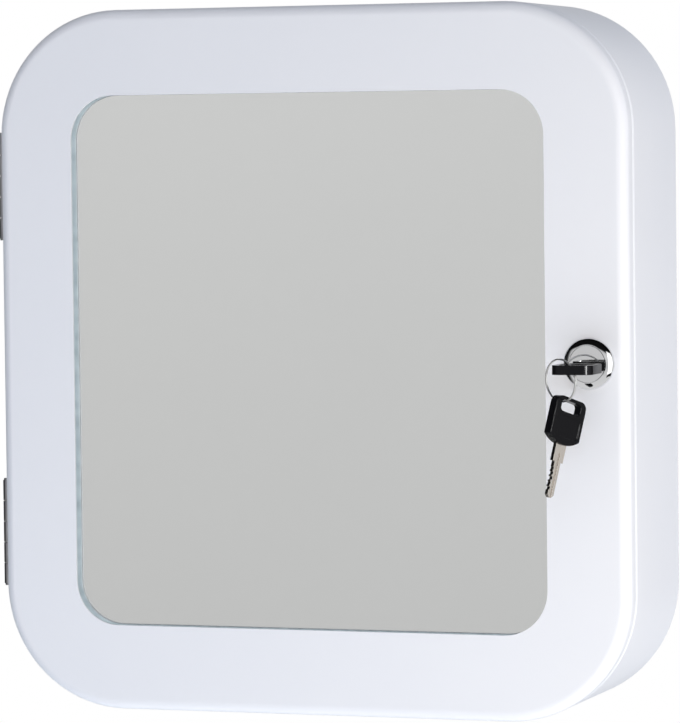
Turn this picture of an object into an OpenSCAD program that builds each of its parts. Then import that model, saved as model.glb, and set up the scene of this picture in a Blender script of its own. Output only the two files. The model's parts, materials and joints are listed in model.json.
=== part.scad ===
// Lockable wall cabinet with a mirror door. Millimetres, +Z up, wall at y = 0, door towards -Y.
// The origin is the centre of the four wall-fixing holes, on the plane that lies on the wall.

/* [Cabinet] */
// Overall width, without the hinge barrels
cab_w = 280; // [250:5:400]
// Overall height
cab_h = 300; // [270:5:500]
// Depth from the wall to the door's face
cab_d = 80; // [70:1:150]
// Outer radius of the four corners
corner_r = 53.5; // [40:0.5:60]
// Sheet thickness of body and door
sheet_t = 1; // [0.8:0.1:1.2]
// Bend radius of the body's front edge
body_bend_r = 3; // [2:0.5:4]
// Width of the body's front return flange
flange_w = 9; // [8:0.5:9]
// Bend radius of the back panel's rim
back_bend_r = 2; // [1.5:0.5:4]
// Height of the back panel's turned rim
back_rim = 10; // [6:1:14]
// Gap between the back panel's rim and the shell
back_gap = 0.1; // [0.05:0.05:0.3]

/* [Wall fixing] */
// Diameter of the wall-fixing holes
wall_hole_d = 6; // [4:0.5:8]
// Spacing of the wall-fixing holes across
wall_hole_x = 180; // [120:5:200]
// Spacing of the wall-fixing holes up
wall_hole_z = 200; // [160:5:220]

/* [Shelves] */
// Height of the upper shelf's underside above mid-height
upper_shelf_z = 48; // [30:1:70]
// Height of the lower shelf's underside above mid-height
lower_shelf_z = -48; // [-70:1:-30]
// Sheet thickness of the shelves and their brackets
shelf_t = 0.8; // [0.6:0.1:1.2]
// Distance from the wall to the shelves' front lip
shelf_reach = 58; // [50:1:60]
// Height of the shelves' front lip
shelf_lip = 10; // [6:1:14]
// Height of the shelves' rear upstand
shelf_back = 8; // [5:1:12]
// Gap between a shelf and the back panel with its rim
shelf_gap = 0.4; // [0.3:0.1:1]
// Leg length of the shelf brackets
bracket_leg = 13; // [11:1:16]
// Length of the shelf brackets
bracket_l = 42; // [36:1:44]
// Distance of each bracket rivet from the bracket's end
bracket_rivet_in = 8; // [6:0.5:10]
// Shank diameter of the shelf rivets
rivet_d = 3.2; // [2.4:0.1:4]
// Head diameter of the shelf rivets
rivet_head_d = 6.4; // [5:0.2:7]
// Head height of the shelf rivets
rivet_head_h = 1.1; // [0.8:0.1:1.6]
// Height of the shelf rivets' upset tails
rivet_tail_h = 1.8; // [1:0.1:2.4]

/* [Door] */
// Depth of the door pan, from its face to its rear edge
door_depth = 9.6; // [9.6:0.1:11]
// Bend radius of the door pan's edge
door_bend_r = 5; // [3:0.5:6]
// Gap between the door's rear edge and the body's front
seam_gap = 0.4; // [0.3:0.1:1]

/* [Mirror] */
// Width of the door's frame at the hinge side of the mirror
margin_hinge = 33.8; // [33:0.1:36]
// Width of the door's frame at the lock side of the mirror
margin_lock = 35.3; // [35:0.1:40]
// Width of the door's frame above and below the mirror
margin_ends = 36.5; // [30:0.5:50]
// Corner radius of the mirror opening
opening_r = 19; // [8:1:30]
// How far the pane reaches behind the door's frame
pane_overlap = 5; // [3:0.5:5]
// Thickness of the mirror pane
pane_t = 4; // [3:0.5:4]
// Thickness of the foam tape between door and pane
tape_t = 0.5; // [0.3:0.1:0.8]
// How far the tape stays back from the opening's edge
tape_back = 0.4; // [0.2:0.1:2]
// Thickness of the backing board
board_t = 2; // [1:0.5:2]
// How far the backing board stays inside the pane's edge
board_inset = 1; // [0:0.5:2]

/* [Mirror clips] */
// Sheet thickness of the clips
clip_t = 1; // [0.6:0.1:1]
// Width of each clip
clip_w = 12; // [8:1:14]
// Length of the clips' finger over the board
clip_finger = 6; // [4:0.5:8]
// Length of the clips' foot on the door sheet
clip_foot = 12.5; // [11:0.5:13]
// Gap between the pane's edge and a clip
clip_gap = 0.3; // [0.1:0.1:0.6]
// Height of the side clips above and below mid-height
clip_side_z = 36; // [25:1:40]
// Distance of the end clips from the middle
clip_end_x = 55; // [30:1:70]
// Distance of a stud from the pane's edge
stud_out = 7.5; // [6:0.1:8]
// Diameter of the weld studs
stud_d = 4; // [3:0.5:4]
// Length of the weld studs
stud_l = 6.5; // [5.5:0.1:7]
// Width across flats of the clip nuts
clip_nut_af = 7; // [6:0.1:8]
// Height of the clip nuts
clip_nut_h = 3.2; // [2:0.1:3.5]
// Clearance of nuts and washers round the threads they hold
thread_gap = 0.05; // [0.02:0.01:0.1]

/* [Hinges] */
// Length of each hinge
hinge_len = 45; // [35:1:55]
// Distance of each hinge's middle from the cabinet's top or bottom
hinge_from_end = 75; // [75:1:90]
// Diameter of the hinge barrels
barrel_d = 4; // [3.8:0.1:5]
// Gap between a barrel and the cabinet's side
barrel_gap = 0.3; // [0.3:0.1:1]
// Diameter of the hinge pins
pin_d = 2; // [1.8:0.1:2.2]
// Radial clearance of the pins in the knuckles
pin_gap = 0.05; // [0.03:0.01:0.08]
// Diameter of the pins' heads
pin_head_d = 3.2; // [2.8:0.1:3.6]
// Height of the pins' heads
pin_head_h = 0.8; // [0.5:0.1:1.5]
// Number of knuckles of a hinge, odd
knuckles = 5; // [3:2:7]
// Gap between neighbouring knuckles
knuckle_gap = 0.3; // [0.2:0.1:0.5]
// Thickness of the hinge leaves
leaf_t = 1; // [0.8:0.1:1]
// Clearance of the leaves in their notches
notch_gap = 0.3; // [0.1:0.1:0.5]
// Distance of the door leaf's riser from the cabinet's side
riser_in = 6.5; // [6.5:0.5:8]
// Length of the door leaf's foot on the door sheet
leaf_foot = 12; // [8:0.5:12]
// Distance of the hinge rivets from the cabinet's side
hinge_rivet_in = 5.8; // [5.6:0.1:6]
// Distance of the hinge rivets from the hinge's ends
hinge_rivet_end = 7; // [5:0.5:9]
// Shank diameter of the hinge rivets
hinge_rivet_d = 3; // [2.4:0.1:3.2]
// Diameter of the hinge rivets' flush heads
hinge_rivet_head_d = 5; // [4:0.1:5.2]
// Height of the hinge rivets' upset tails
hinge_rivet_tail_h = 1.4; // [1:0.1:2]

/* [Lock] */
// Distance of the lock from the cabinet's side
lock_in = 16.5; // [16:0.1:17]
// Height of the lock above mid-height
lock_z = 0; // [-10:1:10]
// Diameter of the bezel
bezel_d = 21.8; // [20:0.1:24]
// Radius of the bezel's rounded edge
bezel_round = 2.4; // [1.5:0.1:2.6]
// Straight height under the bezel's rounded edge
bezel_foot = 0.8; // [0.5:0.1:1]
// Diameter of the threaded barrel
barrel_thread_d = 18; // [16:0.5:18]
// Pitch of the barrel's thread
thread_pitch = 1; // [0.8:0.1:1.5]
// Depth of the barrel's thread
thread_depth = 0.45; // [0.3:0.05:0.6]
// Width across the barrel's two flats
barrel_flats = 16.2; // [14:0.1:16.5]
// Distance of the thread's end in front of the body's flange
thread_stop = 0.6; // [0.4:0.1:1]
// Clearance of the barrel in the door's hole
lock_hole_gap = 0.15; // [0.05:0.05:0.4]
// Diameter of the barrel's neck behind the thread
neck_d = 13; // [12.5:0.1:13]
// Diameter of the plug
plug_d = 10; // [9.8:0.1:10.2]
// Radial clearance of the plug in the barrel
plug_gap = 0.05; // [0.03:0.01:0.08]
// Diameter of the plug's face
plug_face_d = 15.2; // [14:0.1:15.4]
// Thickness of the plug's head
plug_head_t = 2.2; // [1.8:0.1:2.4]
// Side length of the plug's square tail
tail_side = 7; // [6.4:0.1:7]
// Width across flats of the barrel nut
lock_nut_af = 22; // [20:0.5:22]
// Height of the barrel nut
lock_nut_h = 4; // [3:0.5:5]
// Thickness of the stop washer
stop_t = 1; // [0.8:0.1:1.2]
// Length of the stop washer's lug
lug_l = 1.5; // [1:0.1:2]
// Angle that the lug takes up
lug_angle = 30; // [20:1:40]
// Quarter turn of the plug
turn_angle = 90; // [90:1:90]
// Play of the lug at each end of its notch, in degrees
lug_play = 2; // [1:0.5:4]
// Play between lock pieces along the plug
lock_play = 0.1; // [0.05:0.05:0.2]

/* [Cam] */
// Width of the cam
cam_w = 12.4; // [12:0.1:12.8]
// Thickness of the cam
cam_t = 2; // [1.5:0.1:2.5]
// Reach of the cam from the plug's axis
cam_reach = 13.6; // [12:0.1:13.6]
// Distance of the cam's crank from the plug's axis
cam_crank = 7; // [6.9:0.1:7.5]
// Gap between the cam's tip and the body's flange
cam_gap = 0.4; // [0.3:0.1:1]
// Diameter of the cam screw's thread
cam_screw_d = 4; // [3:0.5:4]
// Diameter of the cam screw's head
cam_screw_head_d = 7.6; // [6.5:0.1:8]
// Height of the cam screw's head
cam_screw_head_h = 2.4; // [2:0.1:3]
// Diameter of the cam screw's cross recess
cam_recess_d = 4; // [3:0.1:4.5]
// Diameter of the cam washer
cam_washer_d = 10; // [9:0.5:12]
// Thickness of the cam washer
cam_washer_t = 0.8; // [0.5:0.1:1.2]

/* [Wafers] */
// Number of wafers
wafer_count = 5; // [3:1:5]
// Distance between wafers
wafer_pitch = 2.1; // [1.8:0.1:2.2]
// Distance of the first wafer behind the door's face
wafer_first = 1.6; // [1.4:0.1:2.2]
// Thickness of a wafer
wafer_t = 0.9; // [0.7:0.1:1]
// Length of a wafer
wafer_l = 7.2; // [6.8:0.1:7.2]
// Height of a wafer
wafer_h = 4; // [3.6:0.1:4]
// Clearance of a wafer in its slot and round the blade
wafer_gap = 0.1; // [0.05:0.01:0.15]
// Mean diameter of a wafer spring
spring_d = 1.1; // [0.9:0.1:1.2]
// Wire diameter of a wafer spring
spring_wire = 0.22; // [0.15:0.01:0.25]
// Length of a wafer spring
spring_l = 2.5; // [2:0.1:2.6]
// Number of turns of a wafer spring
spring_turns = 5; // [3:1:6]

/* [Keys] */
// Width of the key bow
bow_w = 17.2; // [15:0.1:18]
// Length of the key bow
bow_l = 19.5; // [18:0.1:22]
// Thickness of the key bow
bow_t = 3.9; // [3.2:0.1:4]
// Radius of the bow's outer corners
bow_corner = 3.2; // [1:0.1:4]
// Bulge of the bow's end towards the blade
bow_sag = 3.1; // [1:0.1:4]
// Width of the bow's hole
hole_w = 11.4; // [11:0.1:12]
// Height of the bow's hole
hole_h = 4.6; // [4.4:0.1:4.8]
// Corner radius of the bow's hole
hole_r = 1.6; // [0.5:0.1:2]
// Distance of the hole's middle from the bow's outer end
hole_in = 3.8; // [3.6:0.1:4]
// Rim left round the bow's sunk panel
panel_rim = 1.6; // [1:0.1:2]
// Depth of the bow's sunk panel
panel_sunk = 0.3; // [0.2:0.05:0.5]
// Thickness of the key blade
blade_t = 1.8; // [1.4:0.1:1.8]
// Width of the key blade
blade_w = 3.5; // [3:0.1:3.6]
// Length of the key blade in front of its shoulder
blade_l = 15; // [12:0.1:15]
// Width of the blade's shoulder
shoulder_w = 5.8; // [5:0.1:6]
// Length of the blade's shoulder
shoulder_l = 7.2; // [6:0.1:7.2]
// Length of the blade's tang inside the bow
tang_l = 8; // [5:0.5:8]
// Clearance of the tang in the bow, and of the blade in the plug
tang_gap = 0.05; // [0.02:0.01:0.1]
// Clearance of the blade in the plug's keyway
keyway_gap = 0.2; // [0.1:0.05:0.25]
// Width of the groove along the blade
groove_w = 0.8; // [0.4:0.1:1]
// Depth of the groove along the blade
groove_deep = 0.45; // [0.2:0.05:0.6]
// Depths of the bitting cuts, in steps from the tip
cut_step = 0.3; // [0.2:0.05:0.3]
// How far the keyway lies under the plug's axis
key_drop = 1.3; // [1:0.1:1.3]
// Reach of the key in the lock, from the door's face to the bow's outer end
key_reach = 28; // [27.5:0.1:30]

/* [Key ring] */
// Mean radius of the key ring
ring_r = 8.75; // [8.7:0.05:9]
// Wire diameter of the ring's two turns
ring_wire = 0.62; // [0.5:0.02:0.64]
// Distance between the ring's two turns
ring_pitch = 0.36; // [0.3:0.02:0.36]
// Place of the ring's middle left of the plug's axis
ring_left = 6.3; // [6.2:0.1:6.5]
// Place of the ring's middle below the plug's axis
ring_down = 5.9; // [5.8:0.1:6.1]
// Distance of the ring's middle from the key's outer end
ring_back = 7.6; // [7.5:0.1:7.7]
// Turn of the ring about the vertical, in degrees
ring_yaw = -30.5; // [-32:0.5:-29]
// Lean of the ring towards the door, in degrees
ring_tilt = 4.2; // [3:0.1:5]
// Place of the spare key round the ring from its lowest point, in degrees
spare_round = 0; // [-2:1:2]
// How far the wire lies above the middle of the spare key's hole
spare_drop = 1.4; // [1.2:0.1:1.4]
// How far the wire lies left of the middle of the spare key's hole
spare_right = 4; // [3.6:0.1:4]
// Turn of the spare key about the vertical, in degrees
spare_yaw = 61; // [56:1:62]
// Lean of the spare key, in degrees
spare_lean = 18; // [14:0.5:18]

/* [Hidden] */

// Facets of round shapes, fine and small
fine = 96;
small = 48;
// Overlap that makes a cut run clear of a face
past = 1;

// Depths behind the door's face
body_front = door_depth + seam_gap;
leaf_front = body_front + sheet_t;
hinge_axis_d = (door_depth + leaf_front) / 2;
pane_front = sheet_t + tape_t;
board_front = pane_front + pane_t;
clip_back = board_front + board_t + clip_t;

// Places of hinges and lock
side_x = cab_w / 2;
hinge_x = -side_x - barrel_gap - barrel_d / 2;
hinge_z = cab_h / 2 - hinge_from_end;
lock_x = side_x - lock_in;

// Mirror opening and pane
opening_w = cab_w - margin_hinge - margin_lock;
opening_h = cab_h - 2 * margin_ends;
opening_x = (margin_hinge - margin_lock) / 2;
pane_w = opening_w + 2 * pane_overlap;
pane_h = opening_h + 2 * pane_overlap;
pane_r = opening_r + pane_overlap;
clip_spots = [
    for (s = [-1, 1]) each [
        [pane_w / 2, s * clip_side_z, 0],
        [-pane_w / 2, s * clip_side_z, 180],
        [s * clip_end_x, pane_h / 2, 90],
        [s * clip_end_x, -pane_h / 2, -90]
    ]
];

// Inside of the shell and the shelves' size
inner_x = side_x - sheet_t;
shelf_w = 2 * (inner_x - sheet_t - back_gap - shelf_gap);
shelf_rear = sheet_t + shelf_gap;
bracket_y = -(shelf_reach + back_rim) / 2;
shelf_rivet_x = inner_x - bracket_leg / 2 - shelf_t;

// Lengths along the lock, towards the inside as negative values
bezel_top = bezel_foot + bezel_round;
seat_z = bezel_top - plug_head_t;
thread_end = -(body_front - thread_stop);
cam_tip_front = -(leaf_front + cam_gap);
blade_tip = key_reach - bow_l - shoulder_l - blade_l;
neck_end = blade_tip - 0.2;
stop_front = neck_end - lock_play;
cam_front = stop_front - stop_t;
cam_back = cam_front - cam_t;
tail_end = cam_back + 2 * lock_play;
screw_end = blade_tip - 0.7;
arch_r = (bow_w * bow_w / 4 + bow_sag * bow_sag) / (2 * bow_sag);

// Middle of the key ring and the place where the spare key hangs on it
ring_mid = [lock_x - ring_left, -cab_d - key_reach + ring_back, lock_z - ring_down];
ring_across = [cos(ring_yaw), sin(ring_yaw), 0];
ring_up = [sin(ring_yaw) * sin(ring_tilt), -cos(ring_yaw) * sin(ring_tilt), cos(ring_tilt)];
spare_up = [
    cos(spare_yaw) * sin(spare_lean), sin(spare_yaw) * sin(spare_lean), cos(spare_lean)
];
spare_across = [
    cos(spare_yaw) * cos(spare_lean), sin(spare_yaw) * cos(spare_lean), -sin(spare_lean)
];
hang_point = ring_mid + ring_r * (sin(spare_round) * ring_across - cos(spare_round) * ring_up);
spare_hole = hang_point + spare_right * spare_across - spare_drop * spare_up;

// Colours
coat = [0.93, 0.94, 0.96];
steel = [0.62, 0.63, 0.65];
dark_steel = [0.36, 0.36, 0.38];
chrome = [0.8, 0.81, 0.83];
black = [0.04, 0.04, 0.05];

// ---- Shared shapes ----

// A flat shape's x and y become the cabinet's x and z, and its extrusion runs to the front
module from_front() {
    translate([0, -cab_d, 0]) rotate([90, 0, 0]) children();
}

// A plate between two depths behind the door's face
module plate(front, back) {
    translate([0, 0, -back]) linear_extrude(back - front) children();
}

module rounded_rect(w, h, r) {
    square([w - 2 * r, h], center = true);
    square([w, h - 2 * r], center = true);
    for (x = [-1, 1], y = [-1, 1])
        translate([x * (w / 2 - r), y * (h / 2 - r)]) circle(r, $fn = fine);
}

// Carries a section, given as inset and depth, round a rounded rectangle
module round_the_edge(w, h, r) {
    for (k = [0:3]) {
        across = (k % 2 == 0 ? w : h) / 2;
        along = (k % 2 == 0 ? h : w) / 2 - r;
        rotate(90 * k) {
            translate([across, along, 0]) rotate([90, 0, 0])
                linear_extrude(2 * along) rotate(180) children();
            translate([across - r, along, 0])
                rotate_extrude(angle = 90, $fn = fine) translate([r, 0]) rotate(180) children();
        }
    }
}

// Section of a bent sheet edge: a wall, its bend and a flange to the given inset
module bent_edge(wall, bend, flange) {
    translate([0, bend]) square([sheet_t, wall - bend]);
    translate([bend, bend]) intersection() {
        difference() {
            circle(bend, $fn = fine);
            circle(bend - sheet_t, $fn = fine);
        }
        translate([-bend, -bend]) square(bend);
    }
    if (flange > bend) translate([bend, 0]) square([flange - bend, sheet_t]);
}

module hex_nut(af, h, bore) {
    difference() {
        rotate(30) cylinder(h = h, d = af / cos(30), $fn = 6);
        translate([0, 0, -past]) cylinder(h = h + 2 * past, d = bore, $fn = small);
    }
}

// ---- Cabinet body ----

module cabinet_shell() {
    color(coat) difference() {
        from_front() translate([0, 0, -body_front]) round_the_edge(cab_w, cab_h, corner_r)
            bent_edge(cab_d - body_front, body_bend_r, flange_w);
        for (s = [-1, 1]) translate([0, 0, s * hinge_z]) {
            translate([-side_x - past, -cab_d + leaf_front, -hinge_len / 2 - notch_gap])
                cube([body_bend_r + past, leaf_t + notch_gap, hinge_len + 2 * notch_gap]);
            hinge_rivet_places() flush_rivet_cut();
        }
    }
}

module back_panel() {
    w = cab_w - 2 * (sheet_t + back_gap);
    h = cab_h - 2 * (sheet_t + back_gap);
    r = corner_r - sheet_t - back_gap;
    color(coat) from_front() translate([0, 0, -cab_d]) difference() {
        union() {
            mirror([0, 0, 1]) round_the_edge(w, h, r)
                bent_edge(back_rim, back_bend_r, back_bend_r);
            linear_extrude(sheet_t)
                rounded_rect(w - 2 * back_bend_r, h - 2 * back_bend_r, r - back_bend_r);
        }
        for (x = [-1, 1], z = [-1, 1])
            translate([x * wall_hole_x / 2, z * wall_hole_z / 2, -past])
                cylinder(h = sheet_t + 2 * past, d = wall_hole_d, $fn = small);
    }
}

// ---- Shelves ----

module shelf_rivet_places() {
    for (s = [-1, 1], e = [-1, 1])
        translate([s * shelf_rivet_x, bracket_y + e * (bracket_l / 2 - bracket_rivet_in), 0])
            children();
}

module shelf(z) {
    color(coat) translate([0, 0, z]) difference() {
        union() {
            translate([-shelf_w / 2, -shelf_reach, 0])
                cube([shelf_w, shelf_reach - shelf_rear, shelf_t]);
            translate([-shelf_w / 2, -shelf_reach, 0]) cube([shelf_w, shelf_t, shelf_lip]);
            translate([-shelf_w / 2, -shelf_rear - shelf_t, 0])
                cube([shelf_w, shelf_t, shelf_back]);
        }
        shelf_rivet_places() translate([0, 0, -past])
            cylinder(h = shelf_t + 2 * past, d = rivet_d + 2 * thread_gap, $fn = small);
    }
}

module shelf_brackets() {
    color(coat) for (z = [upper_shelf_z, lower_shelf_z]) difference() {
        for (s = [0, 1]) mirror([s, 0, 0]) {
            translate([inner_x - bracket_leg, bracket_y - bracket_l / 2, z - shelf_t])
                cube([bracket_leg, bracket_l, shelf_t]);
            translate([inner_x - shelf_t, bracket_y - bracket_l / 2, z - bracket_leg])
                cube([shelf_t, bracket_l, bracket_leg]);
        }
        translate([0, 0, z]) shelf_rivet_places() translate([0, 0, -shelf_t - past])
            cylinder(h = shelf_t + 2 * past, d = rivet_d + 2 * thread_gap, $fn = small);
    }
}

module shelf_rivet() {
    translate([0, 0, -shelf_t - rivet_tail_h])
        cylinder(h = rivet_tail_h, d = rivet_head_d - 1.6, $fn = small);
    translate([0, 0, -shelf_t]) cylinder(h = 2 * shelf_t, d = rivet_d, $fn = small);
    translate([0, 0, shelf_t]) cylinder(h = rivet_head_h, d = rivet_head_d, $fn = small);
}

module shelf_rivets() {
    color(steel) for (z = [upper_shelf_z, lower_shelf_z])
        translate([0, 0, z]) shelf_rivet_places() shelf_rivet();
}

// ---- Hinges ----

// Moves to a hinge's axis at its middle; s is 1 for the upper hinge and -1 for the lower
module at_hinge(s) {
    translate([hinge_x, -cab_d + hinge_axis_d, s * hinge_z]) children();
}

// Knuckles of one leaf: even ones belong to the body, odd ones to the door
module knuckle_row(first, d, spare) {
    len = (hinge_len - (knuckles - 1) * knuckle_gap) / knuckles;
    for (k = [first:2:knuckles - 1])
        translate([0, 0, -hinge_len / 2 + k * (len + knuckle_gap) - spare])
            cylinder(h = len + 2 * spare, d = d, $fn = small);
}

module leaf(first, plates) {
    difference() {
        union() {
            knuckle_row(first, barrel_d, 0);
            difference() {
                for (p = plates) translate([p[0], p[1], -hinge_len / 2])
                    cube([p[2], p[3], hinge_len]);
                knuckle_row(1 - first, barrel_d + 2 * knuckle_gap, knuckle_gap);
            }
        }
        translate([0, 0, -hinge_len / 2 - past])
            cylinder(h = hinge_len + 2 * past, d = pin_d + 2 * pin_gap, $fn = small);
    }
}

// Middle of a rivet on the body's flange, on its front face
module hinge_rivet_places() {
    for (e = [-1, 1])
        translate([-side_x + hinge_rivet_in, -cab_d + body_front, e * (hinge_len / 2 - hinge_rivet_end)])
            rotate([-90, 0, 0]) children();
}

module flush_rivet(grow) {
    cylinder(h = sheet_t, d1 = hinge_rivet_head_d + grow, d2 = hinge_rivet_d + grow, $fn = small);
    cylinder(h = sheet_t + leaf_t, d = hinge_rivet_d + grow, $fn = small);
}

module flush_rivet_cut() {
    flush_rivet(2 * thread_gap);
    translate([0, 0, -past])
        cylinder(h = past, d = hinge_rivet_head_d + 2 * thread_gap, $fn = small);
    translate([0, 0, sheet_t]) cylinder(h = leaf_t + past, d = hinge_rivet_d + 2 * thread_gap, $fn = small);
}

module body_leaf(s) {
    reach = -hinge_x - side_x + flange_w - 0.5;
    color(dark_steel) difference() {
        at_hinge(s) leaf(0, [[0, leaf_front - hinge_axis_d, reach, leaf_t]]);
        translate([0, 0, s * hinge_z]) hinge_rivet_places() flush_rivet_cut();
    }
}

module door_leaf(s) {
    rear = door_depth - hinge_axis_d;
    riser_x = -hinge_x - side_x + riser_in;
    foot_y = sheet_t - hinge_axis_d;
    color(dark_steel) at_hinge(s) leaf(1, [
        [0, rear - leaf_t, riser_x, leaf_t],
        [riser_x - leaf_t, foot_y, leaf_t, rear - foot_y],
        [riser_x - leaf_t, foot_y, leaf_foot, leaf_t]
    ]);
}

module hinge_pin(s) {
    color(steel) at_hinge(s) {
        translate([0, 0, -hinge_len / 2]) cylinder(h = hinge_len, d = pin_d, $fn = small);
        for (e = [0, 1]) mirror([0, 0, e]) translate([0, 0, hinge_len / 2])
            cylinder(h = pin_head_h, d = pin_head_d, $fn = small);
    }
}

module hinge_rivets() {
    color(steel) for (s = [-1, 1]) translate([0, 0, s * hinge_z]) hinge_rivet_places() {
        flush_rivet(0);
        translate([0, 0, sheet_t + leaf_t])
            cylinder(h = hinge_rivet_tail_h, d = hinge_rivet_head_d - 0.6, $fn = small);
    }
}

// ---- Door ----

module door_panel() {
    color(coat) difference() {
        from_front() {
            round_the_edge(cab_w, cab_h, corner_r) bent_edge(door_depth, door_bend_r, door_bend_r);
            plate(0, sheet_t) difference() {
                rounded_rect(cab_w - 2 * door_bend_r, cab_h - 2 * door_bend_r, corner_r - door_bend_r);
                translate([opening_x, 0]) rounded_rect(opening_w, opening_h, opening_r);
                translate([lock_x, lock_z]) double_d(lock_hole_gap);
            }
        }
        for (s = [-1, 1])
            translate([
                -side_x - past, -cab_d + door_depth - leaf_t - notch_gap,
                s * hinge_z - hinge_len / 2 - notch_gap
            ]) cube([sheet_t + 2 * past, leaf_t + notch_gap + past, hinge_len + 2 * notch_gap]);
    }
}

// Round with two flats, for the lock's barrel and its hole
module double_d(grow) {
    intersection() {
        circle(d = barrel_thread_d + 2 * grow, $fn = fine);
        square([barrel_thread_d + 2 * grow, barrel_flats + 2 * grow], center = true);
    }
}

module mirror_tape() {
    color(coat) from_front() translate([opening_x, 0, 0]) plate(sheet_t, pane_front) difference() {
        rounded_rect(pane_w, pane_h, pane_r);
        rounded_rect(opening_w + 2 * tape_back, opening_h + 2 * tape_back, opening_r + tape_back);
    }
}

module mirror_glass() {
    color([0.75, 0.78, 0.8]) from_front() translate([opening_x, 0, 0])
        plate(pane_front, board_front) rounded_rect(pane_w, pane_h, pane_r);
}

module mirror_backing() {
    color([0.45, 0.35, 0.25]) from_front() translate([opening_x, 0, 0])
        plate(board_front, board_front + board_t)
        rounded_rect(pane_w - 2 * board_inset, pane_h - 2 * board_inset, pane_r - board_inset);
}

// Moves to the pane's edge at each clip, with x pointing away from the pane
module clip_places() {
    from_front() translate([opening_x, 0, 0])
        for (c = clip_spots) translate([c[0], c[1], 0]) rotate(c[2]) children();
}

module mirror_clips() {
    color(steel) clip_places() difference() {
        union() {
            translate([clip_gap, -clip_w / 2, -sheet_t - clip_t]) cube([clip_foot, clip_w, clip_t]);
            translate([clip_gap, -clip_w / 2, -clip_back]) cube([clip_t, clip_w, clip_back - sheet_t]);
            translate([-clip_finger, -clip_w / 2, -clip_back])
                cube([clip_finger + clip_gap + clip_t, clip_w, clip_t]);
        }
        translate([stud_out, 0, -sheet_t - clip_t - past])
            cylinder(h = clip_t + 2 * past, d = stud_d + 2 * thread_gap, $fn = small);
    }
}

module clip_studs() {
    color(steel) clip_places() translate([stud_out, 0, -sheet_t - stud_l])
        cylinder(h = stud_l, d = stud_d, $fn = small);
}

module clip_nuts() {
    color(steel) clip_places() translate([stud_out, 0, -sheet_t - clip_t - clip_nut_h])
        hex_nut(clip_nut_af, clip_nut_h, stud_d + 2 * thread_gap);
}

// ---- Lock ----

// Moves to the lock's axis on the door's face, with z pointing out of the door
module at_lock() {
    translate([lock_x, -cab_d, lock_z]) rotate([90, 0, 0]) children();
}

module thread_section() {
    rings = floor((-sheet_t - thread_end) / thread_pitch);
    root = barrel_thread_d / 2 - thread_depth;
    translate([0, thread_end]) square([root, -thread_end]);
    for (k = [0:rings - 1]) translate([root, thread_end + k * thread_pitch])
        polygon([[0, 0], [thread_depth, thread_pitch / 2], [0, thread_pitch]]);
}

module lock_housing() {
    bore = plug_d + 2 * plug_gap;
    color(chrome) at_lock() difference() {
        union() {
            rotate_extrude($fn = fine) {
                square([bezel_d / 2, bezel_foot]);
                square([bezel_d / 2 - bezel_round, bezel_top]);
                translate([bezel_d / 2 - bezel_round, bezel_foot]) intersection() {
                    circle(bezel_round, $fn = small);
                    square(bezel_round);
                }
            }
            intersection() {
                rotate_extrude($fn = fine) thread_section();
                translate([-barrel_thread_d, -barrel_flats / 2, thread_end])
                    cube([2 * barrel_thread_d, barrel_flats, -thread_end]);
            }
            translate([0, 0, neck_end]) cylinder(h = -neck_end, d = neck_d, $fn = fine);
        }
        translate([0, 0, neck_end - past])
            cylinder(h = bezel_top - neck_end + 2 * past, d = bore, $fn = fine);
        translate([0, 0, seat_z - lock_play])
            cylinder(h = plug_head_t + lock_play + past, d = plug_face_d + 4 * plug_gap, $fn = fine);
        translate([0, 0, neck_end - past])
            rotate(90 - lug_angle / 2 - lug_play)
            rotate_extrude(angle = turn_angle + lug_angle + 2 * lug_play, $fn = fine)
            translate([plug_d / 2 - 0.1, 0]) square([neck_d / 2, lug_l + 2 * lock_play + past]);
    }
}

module lock_nut() {
    color(steel) at_lock() translate([0, 0, -sheet_t - lock_nut_h])
        hex_nut(lock_nut_af, lock_nut_h, barrel_thread_d + 2 * thread_gap);
}

// Middles of the wafers along the lock
wafer_z = [for (k = [0:wafer_count - 1]) -wafer_first - k * wafer_pitch];
// Pocket of a wafer spring, beside the wafer's ear
spring_x = -spring_l / 2 - 0.3;
spring_y = wafer_h / 2 + spring_d / 2 + spring_wire / 2 + wafer_gap;
ear_w = 0.8;
pocket_h = spring_d + spring_wire + 3 * wafer_gap;

module lock_plug() {
    color(chrome) at_lock() difference() {
        union() {
            translate([0, 0, seat_z]) cylinder(h = plug_head_t, d = plug_face_d, $fn = fine);
            translate([0, 0, stop_front]) cylinder(h = seat_z - stop_front, d = plug_d, $fn = fine);
            translate([-tail_side / 2, -tail_side / 2, tail_end])
                cube([tail_side, tail_side, stop_front - tail_end]);
        }
        translate([0, -key_drop, 0]) {
            translate([-blade_w / 2 - keyway_gap, -blade_t / 2 - keyway_gap, blade_tip - lock_play])
                cube([
                    blade_w + 2 * keyway_gap, blade_t + 2 * keyway_gap,
                    bezel_top - blade_tip + lock_play + past
                ]);
            translate([
                -shoulder_w / 2 - keyway_gap, -blade_t / 2 - keyway_gap,
                key_reach - bow_l - shoulder_l - 2 * lock_play
            ]) cube([shoulder_w + 2 * keyway_gap, blade_t + 2 * keyway_gap, bezel_top + past]);
            for (z = wafer_z) translate([0, 0, z - wafer_t / 2 - wafer_gap]) {
                translate([-plug_d, -wafer_h / 2 - wafer_gap, 0])
                    cube([2 * plug_d, wafer_h + 2 * wafer_gap, wafer_t + 2 * wafer_gap]);
                translate([spring_x - spring_l / 2 - wafer_gap, 0, wafer_t / 2 + wafer_gap - pocket_h / 2])
                    cube([spring_l + ear_w + 5 * wafer_gap, spring_y + pocket_h / 2, pocket_h]);
            }
        }
        translate([0, 0, tail_end - past])
            cylinder(h = screw_end - tail_end + past, d = cam_screw_d + 2 * thread_gap, $fn = small);
    }
}

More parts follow.
